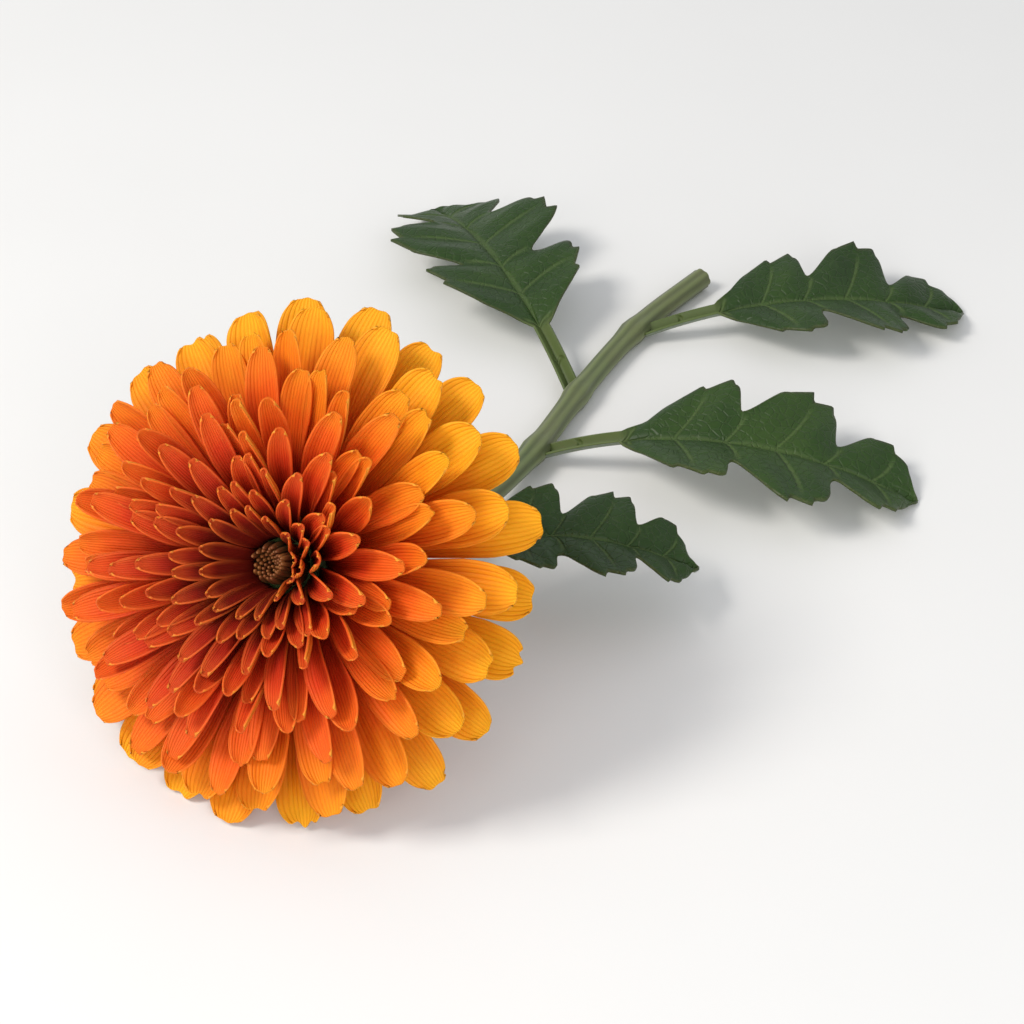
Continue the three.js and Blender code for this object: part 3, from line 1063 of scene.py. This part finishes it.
def make_stem():
    frames = tube_frames(stem_line)
    radii = []
    for index, point in enumerate(stem_line):
        z = AXIS_POINTS[index] if index < len(AXIS_POINTS) else None
        radii.append(stem_radius(point, z))
    last = len(stem_line) - 1

    def place(u, v):
        index = min(round(v * last), last)
        point, sideways, upwards = frames[index]
        angle = math.pi * u
        rib = 1 - RIB_DEPTH * (0.5 - 0.5 * math.cos(STEM_RIBS * angle)) ** 1.5
        radius = radii[index] * rib * MM
        world = point + sideways * (radius * math.cos(angle)) + upwards * (radius * math.sin(angle))
        world.z = max(world.z, TABLE_CLEARANCE)
        return world

    bm = new_sheet()
    add_grid(bm, STEM_SIDES, last, place)
    bmesh.ops.remove_doubles(bm, verts=bm.verts[:], dist=1e-7)
    bmesh.ops.holes_fill(bm, edges=[edge for edge in bm.edges if edge.is_boundary], sides=0)
    bmesh.ops.recalc_face_normals(bm, faces=bm.faces[:])
    caps = [face for face in bm.faces if len(face.verts) > 4]
    cut_end = max(caps, key=lambda face: face.calc_center_median().y)
    for thickness, depth in CUT_INSETS:
        for edge in cut_end.edges:
            edge.smooth = False
        bmesh.ops.inset_region(bm, faces=[cut_end], thickness=thickness * MM, depth=depth * MM)
    cut_end.material_index = 1
    return bm


stem_piece = finish_piece(make_stem(), "flower_stem", ["stem"], stem_materials)
print("stem faces:", len(stem_piece.data.polygons))

# %% [markdown]
# ## The cushion
# The petals stand on a low green cushion, the receptacle. Little of it shows between the petals' feet, so
# it is half the outline of a dome, spun about the head's axis.

# %% Cushion
PROFILE_STEPS = 8
CUSHION_SIDES = 32
CUSHION_SHARE = 0.96
UNDERSIDE_SHARE = 0.8
RIM_DEPTH = 0.9
UNDERSIDE_DEPTH = 1.0


def make_cushion():
    bm = new_sheet()
    profile = []
    for step in range(PROFILE_STEPS + 1):
        r = RECEPTACLE_RADIUS * CUSHION_SHARE * (1 - step / PROFILE_STEPS)
        profile.append(bm.verts.new((r, 0, cushion_height(r))))
    profile.insert(0, bm.verts.new((RECEPTACLE_RADIUS * UNDERSIDE_SHARE, 0, -RIM_DEPTH)))
    profile.insert(0, bm.verts.new((0, 0, -UNDERSIDE_DEPTH)))
    edges = [bm.edges.new(pair) for pair in zip(profile, profile[1:])]
    bmesh.ops.spin(
        bm,
        geom=profile + edges,
        cent=(0, 0, 0),
        axis=(0, 0, 1),
        angle=2 * math.pi,
        steps=CUSHION_SIDES,
        use_merge=True,
        use_duplicate=False,
    )
    bmesh.ops.remove_doubles(bm, verts=bm.verts[:], dist=1e-5)
    bmesh.ops.recalc_face_normals(bm, faces=bm.faces[:])
    bmesh.ops.transform(bm, matrix=head_matrix, verts=bm.verts[:])
    return bm


cushion_piece = finish_piece(make_cushion(), "cushion", ["stem"], [bract_material])
print("cushion faces:", len(cushion_piece.data.polygons))

# %% [markdown]
# ## The leaves
# The fine leaf follows the plain one's line, with a sharper outline: two pairs of lobes and a broad end
# lobe, each cut into small teeth. Its veins are sunk and the blade swells between them, which catches the
# light far better than a bump alone, and its rim waves a little. Where a wave would go through the table,
# it lies on it.

# %% Leaf finishes
def vein_net(finish, across, along):
    """1 on the midrib and on the side veins, which run to the lobes and halfway between, 0 elsewhere."""
    midrib = abs(across).between(0.07, 0.012)
    bow = abs(across) * (1 - abs(across)) * 0.07
    phase = ((along - bow - FIRST_LOBE) * (LOBES * 2.0) + 0.5).fraction() - 0.5
    side_veins = abs(phase).between(0.075, 0.012) * abs(across).between(1.0, 0.55)
    return midrib.higher(side_veins)


def leaf_top_finish():
    finish = Finish("leaf_upper")
    across = finish.attribute("across")
    along = finish.attribute("along")
    tone = finish.attribute("tone")
    net = vein_net(finish, across, along)
    cell_sockets = {"Vector": finish.place(), "Scale": 900.0}
    cells = finish.add("TexVoronoi", {"feature": "DISTANCE_TO_EDGE"}, cell_sockets)
    fine_net = cells.between(0.12, 0.0) * along.between(0.0, 0.1)
    patches = finish.noise(140.0) - 0.5
    body = finish.ramp(
        patches * 0.9 + tone * 0.15 + 0.5,
        [(0.0, (0.011, 0.030, 0.005)), (0.5, (0.021, 0.052, 0.007)), (1.0, (0.042, 0.084, 0.010))],
    )
    netted = finish.mix(fine_net * 0.16, body, (0.050, 0.085, 0.022))
    veined = finish.mix(net * 0.42, netted, (0.100, 0.150, 0.045))
    rim = abs(across).between(0.93, 1.0)
    rimmed = finish.mix(rim * 0.35, veined, (0.090, 0.085, 0.030))
    stalked = finish.mix(along.between(0.04, -0.02), rimmed, (0.095, 0.130, 0.038))
    height = net * -1.0 + fine_net * -0.35 + patches * 0.3
    return finish.surface(
        Base_Color=stalked,
        Roughness=0.42 + net * 0.15,
        Subsurface_Weight=0.06,
        Subsurface_Radius=(0.4, 1.0, 0.2),
        Subsurface_Scale=0.0008,
        Specular_IOR_Level=0.28,
        Normal=finish.bump(height, 0.0002),
    )


def leaf_under_finish():
    finish = Finish("leaf_underside")
    net = vein_net(finish, finish.attribute("across"), finish.attribute("along"))
    felt = finish.noise(1800.0, 5.0) - 0.5
    body = finish.mix((felt * 1.5 + 0.5).clamped(), (0.085, 0.125, 0.060), (0.150, 0.190, 0.110))
    veined = finish.mix(net * 0.6, body, (0.210, 0.250, 0.140))
    return finish.surface(
        Base_Color=veined,
        Roughness=0.8,
        Sheen_Weight=0.3,
        Normal=finish.bump(net * 0.8 + felt * 0.4, 0.0002),
    )


leaf_materials = [leaf_top_finish(), leaf_under_finish()]
print("leaf finishes:", [material.name for material in leaf_materials])

# %% [markdown]
# ## A leaf's shape
# The outline is one formula: a spindle, cut by narrow bays between the lobes, with saw teeth added along
# each lobe. The teeth of the two sides are shifted, so that the halves don't mirror each other. The
# surface is folded along the midrib, swells between the veins and waves at its rim.

# %% Leaf shape
LEAF_THICKNESS = 0.32 * MM
LEAF_CELLS = (28, 150)
LOBE_REACH = 0.88
BAY_DEPTH = 0.50
TEETH_PER_LOBE = 4
TOOTH_RISE = 0.74
TOOTH_HEIGHT = 0.11
TEETH_SHIFT = 0.4
STALK_INTO_STEM = 1.1
STALK_END_SHARE = 0.25
STALK_GUTTER = 0.55
QUILTING = 0.7
RIM_WAVE = 0.6
RIM_WAVES = 11
GROOVE_DEPTH = 0.30
GROOVE_WIDTH = 0.5


def saw_tooth(position):
    """Teeth that point forward: each has a long rise, a short fall and a height of its own."""
    order = math.floor(position)
    share = position - order
    height = 1 + 0.4 * scatter(order, 0, "leaf tooth")
    return height * min((share / TOOTH_RISE) ** 1.3, (1 - share) / (1 - TOOTH_RISE))


def leaf_half_width(v, half, offset):
    """Half the blade's width: broad lobes between narrow bays, with small teeth on each lobe."""
    if not 0 < v < 1:
        return 0.0
    outline = math.sin(math.pi * v**BROADEST_SHIFT) ** 0.66
    sinus = 0.5 - 0.5 * math.cos(2 * math.pi * LOBES * (v - FIRST_LOBE))
    tooth = saw_tooth(LOBES * TEETH_PER_LOBE * (v - FIRST_LOBE) + offset) * clamp01((1 - v) * 8)
    reach = LOBE_REACH - BAY_DEPTH * sinus**4 + TOOTH_HEIGHT * tooth * (1 - 0.6 * sinus)
    return half * BLADE_SPREAD * outline * reach


def vein_distance(v):
    """0 on a side vein and 1 halfway to the next one."""
    phase = ((v - FIRST_LOBE) * LOBES * 2 + 0.5) % 1.0 - 0.5
    return abs(phase) * 2


def make_leaf(shape, order):
    leaf = shape.leaf
    v_first = -STALK_INTO_STEM / shape.long

    def place(u, share):
        v = mix(v_first, 1.0, share)
        on_blade = (v - shape.stalk_share) / (1 - shape.stalk_share)
        blade_half = leaf_half_width(on_blade, leaf.half, TEETH_SHIFT if u > 0 else 0.0)
        stalk_taper = mix(1.0, STALK_END_SHARE, clamp01(on_blade * 1.05)) * clamp01((1 - on_blade) * 5)
        across = STALK_HALF_WIDTH * stalk_taper + blade_half
        bladed = clamp01(blade_half / (0.3 * leaf.half))
        quilt = QUILTING * math.sin(math.pi * abs(u)) * (vein_distance(on_blade) ** 0.7 - 0.35) * bladed
        phase = 2.2 * order + (1.3 if u > 0 else 0)
        wave = RIM_WAVE * u * u * math.sin(RIM_WAVES * on_blade + phase) * bladed
        groove = -GROOVE_DEPTH * math.exp(-((u * across / GROOVE_WIDTH) ** 2))
        gutter = STALK_GUTTER * (1 - bladed) * u * u
        lift = LEAF_FOLD * across * abs(u) + quilt + wave + groove + gutter
        point = shape.bend(v + shape.slide(u, blade_half), lift, shape.droop)
        widen = mix(1.0, math.sin(VEIN_SLANT) * 1.15, bladed)
        point += shape.side * (u * across * widen)
        world = point * MM
        world.z = max(world.z, LEAF_THICKNESS + TABLE_CLEARANCE)
        return world

    bm = new_sheet()
    vertices = add_grid(bm, *LEAF_CELLS, place, 0.0, scatter(order, 2, "leaf tone"))
    along = bm.verts.layers.float["along"]
    for vertex in vertices:
        v = mix(v_first, 1.0, vertex[along])
        vertex[along] = (v - shape.stalk_share) / (1 - shape.stalk_share)
    return bm


for order, shape in enumerate(leaf_shapes):
    leaf = shape.leaf
    piece = finish_piece(make_leaf(shape, order), leaf.name, [leaf.node], leaf_materials)
    thicken(piece, LEAF_THICKNESS)
print("leaves:", len(leaf_shapes))

# %% [markdown]
# ## Floor, light and camera
# The flower lies on a plain pale floor under a plain pale sky. Three large soft lamps model it: a key
# from the upper left, a weaker fill from the right and a low one that reaches into the head. The camera
# looks down on the face of the flower from the front right, so the stem runs away to the upper right.

# %% Floor
FLOOR_SIZE = 3.0


def floor_finish():
    finish = Finish("pale_floor")
    grain = finish.noise(30.0) - 0.5
    colour = finish.mix((grain + 0.5).clamped(), (0.80, 0.79, 0.775), (0.825, 0.815, 0.80))
    return finish.surface(Base_Color=colour, Roughness=0.75)


def make_floor():
    bm = bmesh.new()
    bmesh.ops.create_grid(bm, x_segments=1, y_segments=1, size=FLOOR_SIZE)
    mesh = bpy.data.meshes.new("floor")
    bm.to_mesh(mesh)
    bm.free()
    floor = bpy.data.objects.new("floor", mesh)
    mesh.materials.append(floor_finish())
    bpy.context.scene.collection.objects.link(floor)


make_floor()
print("floor ready")

# %% [markdown]
# ## Lamps
# Each lamp is placed from the middle of the flower's face and aimed back at it. They are large for their
# distance, so every shadow has a soft edge, and the sky fills the shadows with a cooler light.

# %% Lights
def make_world(colour, strength):
    world = bpy.data.worlds.new("soft_sky")
    world.use_nodes = True
    background = world.node_tree.nodes["Background"]
    background.inputs["Color"].default_value = (*colour, 1.0)
    background.inputs["Strength"].default_value = strength
    bpy.context.scene.world = world


def soft_lamp(name, place, target, size, power, colour):
    """A square area lamp at place, aimed at target."""
    data = bpy.data.lights.new(name, "AREA")
    data.size = size
    data.energy = power
    data.color = colour
    lamp = bpy.data.objects.new(name, data)
    lamp.location = place
    lamp.rotation_euler = (Vector(target) - Vector(place)).to_track_quat("-Z", "Y").to_euler()
    bpy.context.scene.collection.objects.link(lamp)


target = head_matrix @ Vector((0, 0, 6))
make_world((0.93, 0.96, 1.0), 0.62)
soft_lamp("key", target + Vector((-0.30, -0.28, 0.48)), target, 0.22, 2.7, (1.0, 0.97, 0.92))
soft_lamp("fill", target + Vector((0.42, -0.34, 0.26)), target, 0.35, 0.9, (0.94, 0.97, 1.0))
soft_lamp("front", target + Vector((0.06, -0.55, 0.22)), target, 0.3, 0.8, (1.0, 0.98, 0.95))

# %% [markdown]
# ## Camera
# The camera looks along a chosen angle. Where it stands follows from the pieces: it is moved sideways
# until they are centred and back until they fill the chosen share of the frame, a few rounds of each,
# because moving back changes the perspective a little.

# %% Camera
CAMERA_AZIMUTH = math.radians(30)
CAMERA_ELEVATION = math.radians(38)
FRAME_FILL = 0.88
LENS = 85
SENSOR = 36
FIRST_DISTANCE = 0.6
FIT_ROUNDS = 8


def make_camera():
    """A camera that looks along the chosen angle, centred and far enough back for the whole flower."""
    data = bpy.data.cameras.new("camera")
    data.lens = LENS
    data.sensor_width = SENSOR
    camera = bpy.data.objects.new("camera", data)
    back = Vector((
        math.sin(CAMERA_AZIMUTH) * math.cos(CAMERA_ELEVATION),
        -math.cos(CAMERA_AZIMUTH) * math.cos(CAMERA_ELEVATION),
        math.sin(CAMERA_ELEVATION),
    ))
    turn = back.to_track_quat("Z", "Y")
    from_camera = turn.to_matrix()
    to_camera = from_camera.inverted()
    points = [to_camera @ v.co for name in shown_names for v in bpy.data.objects[name].data.vertices]
    half_view = SENSOR / 2 / LENS
    eye = Vector((0, 0, FIRST_DISTANCE))
    for _ in range(FIT_ROUNDS):
        across = [(p.x - eye.x) / (eye.z - p.z) for p in points]
        upright = [(p.y - eye.y) / (eye.z - p.z) for p in points]
        spread = max(max(across) - min(across), max(upright) - min(upright)) / 2
        eye.x += middle(across) * eye.z
        eye.y += middle(upright) * eye.z
        eye.z *= spread / (half_view * FRAME_FILL)
    camera.location = from_camera @ eye
    camera.rotation_euler = turn.to_euler()
    bpy.context.scene.collection.objects.link(camera)
    bpy.context.scene.camera = camera
    return eye.z


shown_names = {piece.name for piece in petal_pieces} | {leaf.name for leaf in LEAVES} | {"flower_stem"}
print("camera distance:", round(make_camera(), 3))
bpy.context.scene.view_settings.view_transform = "Standard"
